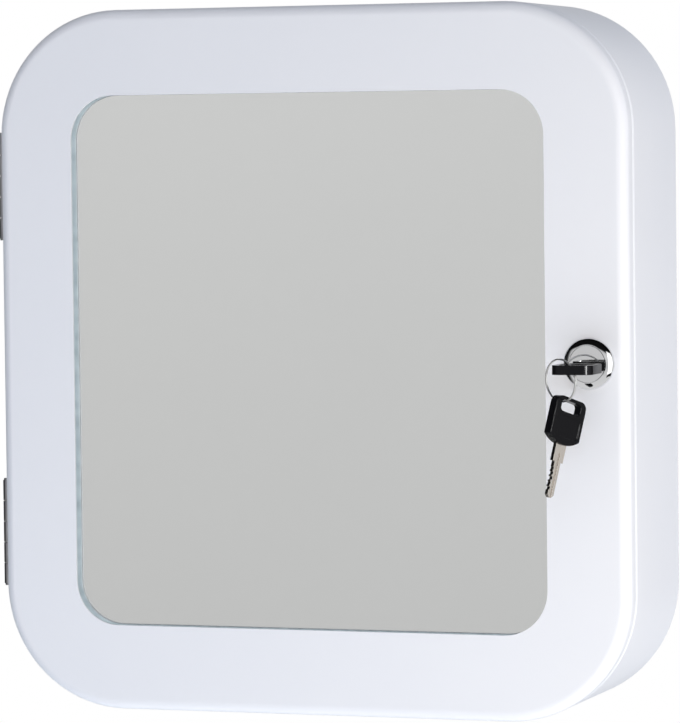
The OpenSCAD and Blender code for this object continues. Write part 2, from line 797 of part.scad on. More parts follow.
module lock_wafers() {
    window_w = blade_w + 2 * wafer_gap;
    window_h = blade_t + 2 * wafer_gap;
    color([0.78, 0.64, 0.36]) at_lock() translate([0, -key_drop, 0])
        for (z = wafer_z) translate([0, 0, z - wafer_t / 2]) linear_extrude(wafer_t) difference() {
            union() {
                square([wafer_l, wafer_h], center = true);
                translate([spring_x + spring_l / 2 + wafer_gap, 0])
                    square([ear_w, spring_y + spring_d / 2]);
            }
            square([window_w, window_h], center = true);
        }
}

// Points and faces of a coil of round wire round the z axis
function coil_points(r, wire, length, turns, steps, sides) = [
    for (i = [0:turns * steps]) for (j = [0:sides - 1])
        let (a = 360 * i / steps, b = 360 * j / sides, out = r + wire / 2 * cos(b))
            [out * cos(a), out * sin(a), length * i / (turns * steps) + wire / 2 * sin(b)]
];
function tube_faces(rings, sides) = concat(
    [[for (j = [0:sides - 1]) j]],
    [[for (j = [sides - 1:-1:0]) (rings - 1) * sides + j]],
    [for (i = [0:rings - 2]) for (j = [0:sides - 1]) each [
        [i * sides + j, (i + 1) * sides + j, (i + 1) * sides + (j + 1) % sides],
        [i * sides + j, (i + 1) * sides + (j + 1) % sides, i * sides + (j + 1) % sides]
    ]]
);

module wafer_springs() {
    steps = 10;
    sides = 6;
    rise = spring_l - spring_wire;
    color(steel) at_lock() translate([0, -key_drop, 0])
        for (z = wafer_z) translate([spring_x - rise / 2, spring_y, z]) rotate([0, 90, 0])
            polyhedron(
                coil_points(spring_d / 2, spring_wire, rise, spring_turns, steps, sides),
                tube_faces(spring_turns * steps + 1, sides)
            );
}

module stop_washer() {
    color(steel) at_lock() {
        translate([0, 0, cam_front]) linear_extrude(stop_t) difference() {
            circle(d = neck_d - 0.2, $fn = fine);
            square(tail_side + 2 * thread_gap, center = true);
        }
        translate([0, 0, stop_front - lock_play]) rotate(90 - lug_angle / 2)
            rotate_extrude(angle = lug_angle, $fn = fine)
            translate([plug_d / 2 + 0.2, 0])
            square([neck_d / 2 - plug_d / 2 - 0.3, lug_l + lock_play]);
    }
}

module lock_cam() {
    color(steel) at_lock() difference() {
        union() {
            translate([0, 0, cam_back]) linear_extrude(cam_t) {
                circle(d = cam_w, $fn = small);
                translate([-cam_w / 2, -cam_crank - cam_t]) square([cam_w, cam_crank + cam_t]);
            }
            translate([-cam_w / 2, -cam_crank - cam_t, cam_back])
                cube([cam_w, cam_t, cam_tip_front - cam_back]);
            translate([0, 0, cam_tip_front - cam_t]) linear_extrude(cam_t) intersection() {
                circle(cam_reach, $fn = fine);
                translate([-cam_w / 2, -cam_reach]) square([cam_w, cam_reach - cam_crank]);
            }
        }
        translate([0, 0, cam_back - past]) linear_extrude(cam_t + 2 * past)
            square(tail_side + 2 * thread_gap, center = true);
    }
}

module cam_washer() {
    color(steel) at_lock() translate([0, 0, cam_back - cam_washer_t]) difference() {
        cylinder(h = cam_washer_t, d = cam_washer_d, $fn = small);
        translate([0, 0, -past])
            cylinder(h = cam_washer_t + 2 * past, d = cam_screw_d + 2 * thread_gap, $fn = small);
    }
}

module cam_screw() {
    under = cam_back - cam_washer_t;
    color(steel) at_lock() difference() {
        union() {
            translate([0, 0, under])
                cylinder(h = screw_end - under - lock_play, d = cam_screw_d, $fn = small);
            translate([0, 0, under - cam_screw_head_h])
                cylinder(h = cam_screw_head_h, d = cam_screw_head_d, $fn = small);
        }
        for (a = [0, 90]) rotate(a)
            translate([-cam_recess_d / 2, -0.4, under - cam_screw_head_h - past])
            cube([cam_recess_d, 0.8, past + cam_screw_head_h / 2]);
    }
}

// ---- Keys: x across the bow, z from the blade to the bow's outer end ----

module bow_outline() {
    intersection() {
        translate([-bow_w / 2, 0]) square([bow_w, bow_l / 2]);
        translate([0, arch_r]) circle(arch_r, $fn = fine);
    }
    translate([0, bow_l / 2]) intersection() {
        rounded_rect(bow_w, bow_l, bow_corner);
        translate([-bow_w / 2, 0]) square([bow_w, bow_l / 2]);
    }
}

module bow() {
    hole_z = bow_l - hole_in;
    panel_h = hole_z - hole_h / 2 - 2 * panel_rim - bow_sag / 2;
    rotate([90, 0, 0]) difference() {
        linear_extrude(bow_t, center = true) difference() {
            bow_outline();
            translate([0, hole_z]) rounded_rect(hole_w, hole_h, hole_r);
        }
        for (s = [0, 1]) mirror([0, 0, s])
            translate([0, bow_sag / 2 + panel_rim + panel_h / 2, bow_t / 2 - panel_sunk])
            linear_extrude(panel_sunk + past)
            rounded_rect(bow_w - 2 * panel_rim, panel_h, hole_r);
        translate([-shoulder_w / 2 - tang_gap, -past, -blade_t / 2 - tang_gap])
            cube([shoulder_w + 2 * tang_gap, tang_l + tang_gap + past, blade_t + 2 * tang_gap]);
    }
}

module blade() {
    tip = -shoulder_l - blade_l;
    rotate([90, 0, 0]) difference() {
        translate([0, 0, -blade_t / 2]) linear_extrude(blade_t) {
            translate([-shoulder_w / 2, -shoulder_l]) square([shoulder_w, shoulder_l + tang_l]);
            polygon([
                [-blade_w / 2, -shoulder_l], [-blade_w / 2, tip + blade_w / 3],
                [-blade_w / 6, tip], [blade_w / 6, tip],
                [blade_w / 2, tip + blade_w / 3], [blade_w / 2, -shoulder_l]
            ]);
        }
        for (s = [0, 1]) mirror([0, 0, s])
            translate([-groove_w / 2, tip - past, blade_t / 2 - groove_deep])
            cube([groove_w, blade_l + shoulder_l / 2 + past, groove_deep + past]);
        for (k = [0:wafer_count - 1])
            translate([-blade_w / 2, bow_l - key_reach + wafer_z[k], -blade_t])
            linear_extrude(2 * blade_t)
            polygon([
                [-past, -wafer_pitch / 2], [0, -wafer_pitch / 2],
                [cut_step * (1 + k % 3), -wafer_t / 2], [cut_step * (1 + k % 3), wafer_t / 2],
                [0, wafer_pitch / 2], [-past, wafer_pitch / 2]
            ]);
    }
}

module in_lock() {
    at_lock() translate([0, -key_drop, key_reach - bow_l]) children();
}

module on_ring() {
    translate(spare_hole) rotate([0, 0, spare_yaw]) rotate([0, spare_lean, 0])
        translate([0, 0, hole_in - bow_l]) children();
}

module key_ring() {
    color(steel) translate(ring_mid) rotate([0, 0, ring_yaw]) rotate([ring_tilt + 90, 0, 0])
        rotate_extrude($fn = fine) for (s = [-1, 1])
            translate([ring_r, s * ring_pitch / 2]) circle(d = ring_wire, $fn = small);
}

cabinet_shell();
back_panel();
shelf(upper_shelf_z);  // upper_shelf
shelf(lower_shelf_z);  // lower_shelf
shelf_brackets();
shelf_rivets();
body_leaf(1);  // upper_hinge_body_leaf
body_leaf(-1);  // lower_hinge_body_leaf
hinge_pin(1);  // upper_hinge_pin
hinge_pin(-1);  // lower_hinge_pin
hinge_rivets();
door_panel();
mirror_tape();
mirror_glass();
mirror_backing();
mirror_clips();
clip_studs();
clip_nuts();
door_leaf(1);  // upper_hinge_door_leaf
door_leaf(-1);  // lower_hinge_door_leaf
lock_housing();
lock_nut();
lock_plug();
lock_wafers();
wafer_springs();
stop_washer();
lock_cam();
cam_washer();
cam_screw();
color(steel) in_lock() blade();  // key_blade
color(black) in_lock() bow();  // key_bow
key_ring();
color(steel) on_ring() blade();  // spare_key_blade
color(black) on_ring() bow();  // spare_key_bow
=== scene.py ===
import bpy, bmesh, json, math
from mathutils import Matrix, Vector


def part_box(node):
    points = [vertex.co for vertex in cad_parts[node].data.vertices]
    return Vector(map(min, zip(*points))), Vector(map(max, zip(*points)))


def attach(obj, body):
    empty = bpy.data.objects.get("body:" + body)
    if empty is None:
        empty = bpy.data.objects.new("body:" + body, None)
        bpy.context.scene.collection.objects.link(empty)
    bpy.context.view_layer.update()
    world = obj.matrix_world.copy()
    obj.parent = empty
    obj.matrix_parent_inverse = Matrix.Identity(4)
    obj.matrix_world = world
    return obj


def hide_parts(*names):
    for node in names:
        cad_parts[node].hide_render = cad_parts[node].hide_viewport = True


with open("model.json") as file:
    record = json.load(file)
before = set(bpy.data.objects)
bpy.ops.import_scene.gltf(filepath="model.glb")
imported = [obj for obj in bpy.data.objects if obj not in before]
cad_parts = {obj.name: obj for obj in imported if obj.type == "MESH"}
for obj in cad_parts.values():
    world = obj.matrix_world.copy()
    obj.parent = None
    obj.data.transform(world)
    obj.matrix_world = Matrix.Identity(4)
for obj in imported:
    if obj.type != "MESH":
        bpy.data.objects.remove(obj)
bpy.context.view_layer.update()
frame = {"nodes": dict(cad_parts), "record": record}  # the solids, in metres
nodes = frame["nodes"]
behaviour = frame["record"]["behaviour"]
bodyOf = {node: body for body, names in behaviour["bodies"].items() for node in names}
mm = 0.001
rad = math.radians

# The cabinet hangs with the middle of its back at the origin, and its door faces -Y
camera = {
    "azimuth": 19.124, "elevation": 2.803, "roll": -0.663, "distance": 1.8101,
    "aim": (0.01486, -0.08, 0.00036), "near": 0.05, "far": 50,
    "focalPixels": 4307.4, "picturePixels": 723, "sensor": 36,  # the picture is 680 by 723
}


def aimedBack(azimuth, elevation):  # the way from the cabinet to a camera or a light
    a, e = rad(azimuth), rad(elevation)
    return Vector((math.sin(a) * math.cos(e), -math.cos(a) * math.cos(e), math.sin(e)))


def addCamera(c):
    data = bpy.data.cameras.new("camera")
    data.sensor_fit, data.sensor_width = "AUTO", c["sensor"]
    data.lens = c["focalPixels"] / c["picturePixels"] * c["sensor"]
    data.clip_start, data.clip_end = c["near"], c["far"]
    obj = bpy.data.objects.new("camera", data)
    bpy.context.collection.objects.link(obj)
    back = aimedBack(c["azimuth"], c["elevation"])
    a, r = rad(c["azimuth"]), rad(c["roll"])
    side = Vector((math.cos(a), math.sin(a), 0))
    up = back.cross(side)
    right = math.cos(r) * side + math.sin(r) * up
    upright = math.cos(r) * up - math.sin(r) * side
    turn = Matrix((right, upright, back)).transposed().to_4x4()
    obj.matrix_world = Matrix.Translation(Vector(c["aim"]) + back * c["distance"]) @ turn
    bpy.context.scene.camera = obj


addCamera(camera)
bpy.context.scene.view_settings.view_transform = "Standard"
print("camera set")


def fromHex(code):  # sRGB hex to linear colour
    def channel(v):
        v /= 255
        return v / 12.92 if v <= 0.04045 else ((v + 0.055) / 1.055) ** 2.4
    return tuple(channel(int(code[i:i + 2], 16)) for i in (0, 2, 4)) + (1.0,)


def addNode(tree, kind, inputs=None, **settings):  # sockets are linked, and values are set
    node = tree.nodes.new(kind)
    for key, value in settings.items():
        setattr(node, key, value)
    for key, value in (inputs or {}).items():
        if isinstance(value, bpy.types.NodeSocket):
            tree.links.new(value, node.inputs[key])
        else:
            node.inputs[key].default_value = value
    return node


def noise(tree, vector, scale, detail, **more):
    inputs = {"Vector": vector, "Scale": scale, "Detail": detail, **more}
    return addNode(tree, "ShaderNodeTexNoise", inputs).outputs[0]


def grained(tree, place, grainMm, detail, **more):  # noise in grains of a size along each axis
    inputs = {"Vector": place, "Scale": [1000 / g for g in grainMm]}
    scaled = addNode(tree, "ShaderNodeMapping", inputs).outputs[0]
    return noise(tree, scaled, 1, detail, **more)


def ranged(tree, value, low, high, start=0.0, end=1.0, **settings):  # one span mapped to another
    inputs = {"Value": value, "From Min": start, "From Max": end, "To Min": low, "To Max": high}
    return addNode(tree, "ShaderNodeMapRange", inputs, **settings).outputs[0]


def blended(tree, amount, first, second):
    inputs = {0: amount, 6: first, 7: second}
    return addNode(tree, "ShaderNodeMix", inputs, data_type="RGBA").outputs[2]


def bumped(tree, height, strength, highMm):
    inputs = {"Height": height, "Strength": strength, "Distance": highMm * mm}
    return addNode(tree, "ShaderNodeBump", inputs).outputs[0]


def newMaterial(name, **surface):
    mat = bpy.data.materials.new(name)
    mat.use_nodes = True
    tree = mat.node_tree
    tree.nodes.clear()
    shader = addNode(tree, "ShaderNodeBsdfPrincipled", surface)
    addNode(tree, "ShaderNodeOutputMaterial", {"Surface": shader.outputs[0]})
    place = addNode(tree, "ShaderNodeTexCoord").outputs["Object"]
    return mat, tree, shader, place


def feed(tree, shader, sockets):  # links what varies over the surface
    for name, socket in sockets.items():
        tree.links.new(socket, shader.inputs[name])


# Polyester powder coat, baked on steel: an even satin white whose surface has a faint orange
# peel of 1.6 mm waves, and a tone that drifts a little over a hand's width
powder = {
    "light": "f0f1f5", "shade": "ebedf2", "driftMm": 1000 / 12, "rough": 0.34, "roughDrift": 0.03,
    "peelMm": 1.6, "peelDepth": 0.05, "peelHigh": 0.2,
}


def powderCoat(p):
    mat, tree, shader, place = newMaterial("powderCoatWhite", IOR=1.5)
    drift = noise(tree, place, 1000 / p["driftMm"], detail=3)
    peel = noise(tree, place, 1000 / p["peelMm"], detail=2, Roughness=0.4)
    smooth, dull = p["rough"] - p["roughDrift"], p["rough"] + p["roughDrift"]
    feed(tree, shader, {
        "Base Color": blended(tree, drift, fromHex(p["shade"]), fromHex(p["light"])),
        "Roughness": ranged(tree, drift, smooth, dull),
        "Normal": bumped(tree, peel, p["peelDepth"], p["peelHigh"]),
    })
    return mat


# Worked metal: lines or grains of a given size along each axis roughen the gloss, and a wider
# cloud of tarnish or handling dulls it in places
wear = {"smoothest": 0.75, "dullest": 1.3, "from": 0.12, "to": 0.42, "grainHigh": 0.1}


def workedMetal(name, code, dull, rough, grainMm, depth, cloudMm=9):
    mat, tree, shader, place = newMaterial(name, Metallic=1.0)
    lines = grained(tree, place, grainMm, detail=3)
    cloud = noise(tree, place, 1000 / cloudMm, detail=2)
    both = addNode(tree, "ShaderNodeMath", {0: lines, 1: cloud}, operation="MULTIPLY").outputs[0]
    smooth = rough * wear["smoothest"]
    feed(tree, shader, {
        "Base Color": blended(tree, cloud, fromHex(code), fromHex(dull)),
        "Roughness": ranged(tree, both, smooth, rough * wear["dullest"], wear["from"], wear["to"]),
        "Normal": bumped(tree, lines, depth, wear["grainHigh"]),
    })
    return mat


# A body colour with specks or fibres of a given size, for moulded plastic and board
specks = {"smoothest": 0.85, "dullest": 1.15, "from": 0.3, "to": 0.7, "grainHigh": 0.1}


def grainy(name, code, other, rough, grainMm, depth, **more):
    mat, tree, shader, place = newMaterial(name, **more)
    grain = grained(tree, place, grainMm, detail=4, Roughness=0.6)
    smooth, dull = rough * specks["smoothest"], min(1, rough * specks["dullest"])
    feed(tree, shader, {
        "Base Color": blended(tree, grain, fromHex(code), fromHex(other)),
        "Roughness": ranged(tree, grain, smooth, dull, specks["from"], specks["to"]),
        "Normal": bumped(tree, grain, depth, specks["grainHigh"]),
    })
    return mat


# Float glass: clear, flat and polished, with a roller wave of 90 mm that bends a reflection a hair
floatSheet = {"waveMm": 90, "waveDepth": 0.02, "waveHigh": 0.2}


def floatGlass(g):
    clear = {"Roughness": 0.0, "Transmission Weight": 1.0, "IOR": 1.52}
    clear["Base Color"] = fromHex("ffffff")
    mat, tree, shader, place = newMaterial("floatGlass", **clear)
    wave = noise(tree, place, 1000 / g["waveMm"], detail=0)
    feed(tree, shader, {"Normal": bumped(tree, wave, g["waveDepth"], g["waveHigh"])})
    return mat


# Closed-cell polyethylene tape: chalky white, with a fine cell texture. Its glow is painted light
# that stands for the light the pane sends it from behind.
# The glow is bluish, dimmer in some 6 mm patches and paler in others, and shows in the mirror as
# the pane's pale edge
tape = {
    "body": "dfe2e4", "paleGlow": "b4c3cc", "dimGlow": "8fa0a9", "rough": 0.9, "glow": 0.85,
    "glowPatchMm": 6, "dimGlowUnder": 0.35, "paleGlowOver": 0.6,
    "cellMm": 0.4, "cellDepth": 0.5, "cellHigh": 0.1,
}


def foamTapeWithPaintedGlow(t):
    # the emission is a painted glow, not a lamp: it stands for light from behind the pane
    chalkyGlowing = {"Roughness": t["rough"], "Emission Strength": t["glow"]}
    chalkyGlowing["Base Color"] = fromHex(t["body"])
    mat, tree, shader, place = newMaterial("closedCellFoamWithPaintedGlow", **chalkyGlowing)
    # the painted glow goes dimmer in some patches and paler in others
    glowPatches = noise(tree, place, 1000 / t["glowPatchMm"], detail=3)
    glowPatches = ranged(tree, glowPatches, 0, 1, t["dimGlowUnder"], t["paleGlowOver"])
    cells = noise(tree, place, 1000 / t["cellMm"], detail=2)
    feed(tree, shader, {
        "Emission Color": blended(tree, glowPatches, fromHex(t["dimGlow"]), fromHex(t["paleGlow"])),
        "Normal": bumped(tree, cells, t["cellDepth"], t["cellHigh"]),
    })
    return mat


coat = powderCoat(powder)
foamWithPaintedGlow = foamTapeWithPaintedGlow(tape)
glass = floatGlass(floatSheet)
# Silver deposited on the pane's back: a near perfect reflector that a trace of haze softens
silver = workedMetal("depositedSilver", "f4f5f4", "f1f2f1", 0.012, (60, 60, 60), 0.0, 120)
# Bright chromium over a die-cast zinc body: mirror gloss with a trace of casting ripple
chrome = workedMetal("chromePlatedZinc", "efeff0", "e6e7e9", 0.05, (3, 3, 3), 0.01)
# Electroplated zinc on pressed steel: satin, bluish, and a little cloudy
zinc = workedMetal("zincPlatedSteel", "b9bcbf", "a6a9ac", 0.3, (0.4, 0.4, 0.4), 0.05)
# Rolled steel strip of the hinges: drawn lines run along the leaf
hingeSteel = workedMetal("rolledHingeSteel", "b4b4b8", "98989c", 0.38, (0.35, 0.35, 18), 0.08)
# Nickel on milled brass: warm grey with fine machining lines
nickel = workedMetal("nickelPlatedBrass", "f3ece4", "ddd5cb", 0.18, (0.3, 0.3, 6), 0.06)
# Nickelled spring wire, drawn through a die: grain too fine to see, and a soft pale gloss
ringSteel = workedMetal("drawnSpringWire", "f6f6f4", "e6e6e4", 0.42, (0.5, 0.5, 0.5), 0.03)
# Stamped sheet brass: yellow, with a grain from rolling
brass = workedMetal("stampedBrass", "c8a468", "a98a50", 0.28, (0.3, 4, 0.3), 0.06)
# ABS moulded in a spark-eroded tool: near black with little gloss, and a fine even texture
dimGloss = {"IOR": 1.5, "Specular IOR Level": 0.12}
blackAbs = grainy("mouldedBlackAbs", "030304", "060607", 0.17, (0.25, 0.25, 0.25), 0.06, **dimGloss)
# Tempered hardboard: brown wood fibres felted flat
board = grainy("temperedHardboard", "6e4b30", "4a3120", 0.75, (1.6, 0.6, 1.2), 0.5, IOR=1.5)

finishes = {
    "cabinet_shell": coat, "back_panel": coat, "upper_shelf": coat, "lower_shelf": coat,
    "shelf_brackets": coat, "shelf_rivets": zinc, "door_panel": coat,
    "upper_hinge_body_leaf": hingeSteel, "lower_hinge_body_leaf": hingeSteel,
    "upper_hinge_door_leaf": hingeSteel, "lower_hinge_door_leaf": hingeSteel,
    "upper_hinge_pin": zinc, "lower_hinge_pin": zinc, "hinge_rivets": zinc,
    "mirror_tape": foamWithPaintedGlow, "mirror_glass": glass, "mirror_backing": board, "mirror_clips": zinc,
    "clip_studs": zinc, "clip_nuts": zinc, "lock_housing": chrome, "lock_nut": zinc,
    "lock_plug": chrome, "lock_wafers": brass, "wafer_springs": ringSteel, "stop_washer": zinc,
    "lock_cam": zinc, "cam_washer": zinc, "cam_screw": zinc, "key_blade": nickel,
    "key_bow": blackAbs, "key_ring": ringSteel, "spare_key_blade": nickel,
    "spare_key_bow": blackAbs,
}
for name, mat in finishes.items():
    mesh = nodes[name].data
    mesh.materials.clear()
    mesh.materials.append(mat)
print("finishes set")

near = 0.01  # mm, within which two places count as one
past = 5  # mm from a key's middle, where a tool ends that cuts through it
outside = 1  # mm that a tool starts beyond the side that it cuts
steep = 0.9  # the least part of a unit direction that counts as along an axis


def only(obj):  # an operator acts on all that is selected
    bpy.ops.object.select_all(action="DESELECT")
    obj.select_set(True)
    bpy.context.view_layer.objects.active = obj


def block(name, low, high):  # a box between two corners in mm, for a piece to be cut from
    bpy.ops.object.select_all(action="DESELECT")
    middle = [(a + b) / 2 * mm for a, b in zip(low, high)]
    lengths = [(b - a) * mm for a, b in zip(low, high)]
    bpy.ops.mesh.primitive_cube_add(size=1, location=middle, scale=lengths)
    obj = bpy.context.object
    obj.name = name
    bpy.ops.object.transform_apply(location=True, rotation=True, scale=True)
    return obj


def pick(kind, test):  # selects faces, edges or corners by middle and normal or direction, in mm
    mesh = bmesh.from_edit_mesh(bpy.context.edit_object.data)
    bpy.ops.mesh.select_mode(type=kind)
    bpy.ops.mesh.select_all(action="DESELECT")
    if kind == "FACE":
        for face in mesh.faces:
            face.select_set(test(face.calc_center_median() / mm, face.normal))
    elif kind == "EDGE":
        for edge in mesh.edges:
            a, b = (v.co / mm for v in edge.verts)
            edge.select_set(test((a + b) / 2, (b - a).normalized()))
    else:
        for vert in mesh.verts:
            vert.select_set(test(vert.co / mm, vert.normal))
    mesh.select_flush_mode()
    bmesh.update_edit_mesh(bpy.context.edit_object.data)


def edit(obj):
    only(obj)
    bpy.ops.object.mode_set(mode="EDIT")


def done():
    bpy.ops.object.mode_set(mode="OBJECT")


def merge(within):  # joins all corners that lie within a distance in mm
    bpy.ops.mesh.select_all(action="SELECT")
    bpy.ops.mesh.remove_doubles(threshold=within * mm)


def roundEdges(test, radius, steps):
    pick("EDGE", test)
    bpy.ops.mesh.bevel(offset=radius * mm, segments=steps, affect="EDGES")


def along(at, way):  # an edge that runs through a piece, from front to back
    return abs(way.y) > steep


def across(at, way):  # an edge that runs round a piece's front or back
    return abs(way.y) < 1 - steep


def finished(obj, kind, **settings):  # adds a modifier and applies it
    only(obj)
    mod = obj.modifiers.new(kind.lower(), kind)
    for key, value in settings.items():
        setattr(mod, key, value)
    bpy.ops.object.modifier_apply(modifier=mod.name)


def cut(obj, tool):  # takes the tool's shape out of the piece
    finished(obj, "BOOLEAN", operation="DIFFERENCE", solver="EXACT", object=tool)
    bpy.data.objects.remove(tool)


def soften(obj, width, segments, angle):  # rounds edges sharper than an angle, to catch light
    finished(obj, "BEVEL", width=width * mm, segments=segments, limit_method="ANGLE",
             angle_limit=rad(angle), harden_normals=True, miter_outer="MITER_ARC")


def keep(obj, mat, *replaced):  # dresses a new piece that stands for solids
    obj.data.materials.clear()
    obj.data.materials.append(mat)
    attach(obj, bodyOf[replaced[0]])
    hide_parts(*replaced)


# The pane is its own piece, so that the silver lies behind clear glass. A hair of room keeps its
# faces from lying in those of the tape and the board
pane = {
    "cornerR": 24, "cornerSteps": 24, "arris": 0.7, "arrisSteps": 2, "frontRoom": 0.04,
    "backRoom": 0.08, "silverFrom": 0.06, "silverTo": 0.03, "bare": 0.8, "smoothUnder": 12,
}


def mirrorPane(p):
    low, high = (Vector(c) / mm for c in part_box("mirror_glass"))
    first = (low.x, low.y + p["frontRoom"], low.z)
    last = (high.x, high.y - p["backRoom"], high.z)
    obj = block("mirror_pane", first, last)
    edit(obj)
    roundEdges(along, p["cornerR"], p["cornerSteps"])
    roundEdges(across, p["arris"], p["arrisSteps"])
    done()
    bpy.ops.object.shade_smooth_by_angle(angle=rad(p["smoothUnder"]))
    keep(obj, glass, "mirror_glass")
    bare = p["bare"]
    first = (low.x + bare, high.y - p["silverFrom"], low.z + bare)
    last = (high.x - bare, high.y - p["silverTo"], high.z - bare)
    back = block("mirror_silver", first, last)
    edit(back)
    roundEdges(along, p["cornerR"] - bare, p["cornerSteps"])
    done()
    back.data.materials.append(silver)
    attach(back, "door")


mirrorPane(pane)
print("mirror made")

# A key lies with x across its bow, y through it, and z from the blade to the bow's outer end
key = {
    "bowW": 17.2, "bowL": 19.5, "bowT": 3.9, "corner": 3.2, "cornerSteps": 10,
    "bowEdge": 0.45, "bowEdgeSteps": 3, "bowEdgeOver": 40, "sag": 3.1, "strips": 16,
    "holeW": 11.4, "holeH": 4.6, "holeR": 1.6, "holeIn": 3.8,
    "rim": 1.6, "sunk": 0.35, "panelR": 1.6,
    "bladeT": 1.8, "bladeW": 3.5, "bladeL": 15, "tipShare": 1 / 3,
    "bladeEdge": 0.12, "bladeEdgeSteps": 2, "bladeEdgeOver": 30,
    "shoulderW": 5.8, "shoulderL": 7.2, "tang": 8, "grooveW": 0.8, "grooveDeep": 0.45,
    "firstCut": 10.1, "cutPitch": 2.1, "cutHalf": 1, "cutFloor": 0.5,
    "cutSteps": (0.25, 0.5, 0.75, 0.25, 0.5),
}


def roundedTool(low, high, radius, steps=8):  # a box with four round corners, along y
    tool = block("tool", low, high)
    edit(tool)
    roundEdges(along, radius, steps)
    done()
    return tool


def keyBow(k):
    w, l, t = k["bowW"] / 2, k["bowL"], k["bowT"] / 2
    arch = (w * w + k["sag"] ** 2) / (2 * k["sag"])
    obj = block("bow", (-w, -t, 0), (w, t, l))
    edit(obj)
    # the end towards the blade becomes an arc, strip by strip
    pick("FACE", lambda at, way: way.z < -steep)
    bpy.ops.mesh.subdivide(number_cuts=k["strips"] - 1)
    bpy.ops.mesh.select_all(action="DESELECT")
    for i in range(k["strips"] + 1):
        x = -w + i * 2 * w / k["strips"]
        pick("VERT", lambda at, way: at.z < near and abs(at.x - x) < near)
        bpy.ops.transform.translate(value=(0, 0, (arch - math.sqrt(arch * arch - x * x)) * mm))
    roundEdges(lambda at, way: along(at, way) and at.z > l - near, k["corner"], k["cornerSteps"])
    done()
    hole, holeX, holeZ = l - k["holeIn"], k["holeW"] / 2, k["holeH"] / 2
    cut(obj, roundedTool((-holeX, -past, hole - holeZ), (holeX, past, hole + holeZ), k["holeR"]))
    # a sunk panel on each side, left bare
    low, high = k["sag"] / 2 + k["rim"], hole - holeZ - k["rim"]
    for side in (-1, 1):
        front, back = sorted((side * (t - k["sunk"]), side * past))
        cut(obj, roundedTool((k["rim"] - w, front, low), (w - k["rim"], back, high), k["panelR"]))
    soften(obj, k["bowEdge"], k["bowEdgeSteps"], k["bowEdgeOver"])
    return obj


def keyBlade(k):
    t, w, s = k["bladeT"] / 2, k["bladeW"] / 2, k["shoulderW"] / 2
    tip = -k["shoulderL"] - k["bladeL"]
    obj = block("blade", (-w, -t, tip), (w, t, k["tang"]))
    edit(obj)
    # the blade narrows to its tip, and widens to its shoulder
    share = k["tipShare"]
    bpy.ops.mesh.bisect(plane_co=(0, 0, (tip + (1 - share) * w) * mm), plane_no=(0, 0, 1))
    pick("VERT", lambda at, way: at.z < tip + near)
    bpy.ops.transform.resize(value=(share, 1, 1), center_override=(0, 0, tip * mm))
    bpy.ops.mesh.select_all(action="SELECT")
    bpy.ops.mesh.bisect(plane_co=(0, 0, -k["shoulderL"] * mm), plane_no=(0, 0, 1))
    pick("FACE", lambda at, way: abs(way.x) > steep and at.z > -k["shoulderL"])
    wider = {"value": (s - w) * mm}
    bpy.ops.mesh.extrude_region_shrink_fatten(TRANSFORM_OT_shrink_fatten=wider)
    done()
    # a groove down both faces, and the cuts that lift the wafers
    groove = k["grooveW"] / 2
    for side in (-1, 1):
        front, back = sorted((side * (t - k["grooveDeep"]), side * past))
        end = -k["shoulderL"] / 2
        cut(obj, block("tool", (-groove, front, tip - outside), (groove, back, end)))
    for i, deep in enumerate(k["cutSteps"]):
        z, half, bottom = -k["firstCut"] - i * k["cutPitch"], k["cutHalf"], deep - w
        tool = block("tool", (-w - outside, -past, z - half), (bottom, past, z + half))
        edit(tool)
        pick("VERT", lambda at, way: at.x > bottom - near)
        bpy.ops.transform.resize(value=(1, 1, k["cutFloor"]), center_override=(0, 0, z * mm))
        done()
        cut(obj, tool)
    soften(obj, k["bladeEdge"], k["bladeEdgeSteps"], k["bladeEdgeOver"])
    return obj


def placed(obj, name, turn):  # moves a piece's mesh to its place
    obj.name = name
    obj.data.transform(turn)
    obj.data.update()


lockAt = Vector((123.5, -80, 0))
ringAt = lockAt + Vector((-6.3, -20.4, -5.9))
bowAt = lockAt + Vector((0, -8.5, -1.3))
inLock = Matrix.Translation(bowAt * mm) @ Matrix.Rotation(rad(90), 4, "X")
ring = {
    "r": 8.75, "yaw": -30.5, "tilt": 4.2, "wireAcross": 0.62, "wireThick": 0.42, "pitch": 0.42,
    "wireSides": 16, "turns": 2, "turnSteps": 96, "smoothUnder": 50,
}
spare = {"drop": 1.4, "right": 4, "yaw": 61, "lean": 18}


def spareTurn(r, s, k):  # where the spare key hangs on the ring
    yaw, tilt, lean = (rad(v) for v in (r["yaw"], r["tilt"], s["lean"]))
    leaned = math.sin(tilt)
    ringUp = Vector((math.sin(yaw) * leaned, -math.cos(yaw) * leaned, math.cos(tilt)))
    turn = Matrix.Rotation(rad(s["yaw"]), 4, "Z") @ Matrix.Rotation(lean, 4, "Y")
    hole = ringAt - r["r"] * ringUp + turn @ Vector((s["right"], 0, -s["drop"]))
    down = Matrix.Translation((0, 0, (k["holeIn"] - k["bowL"]) * mm))
    return Matrix.Translation(hole * mm) @ turn @ down


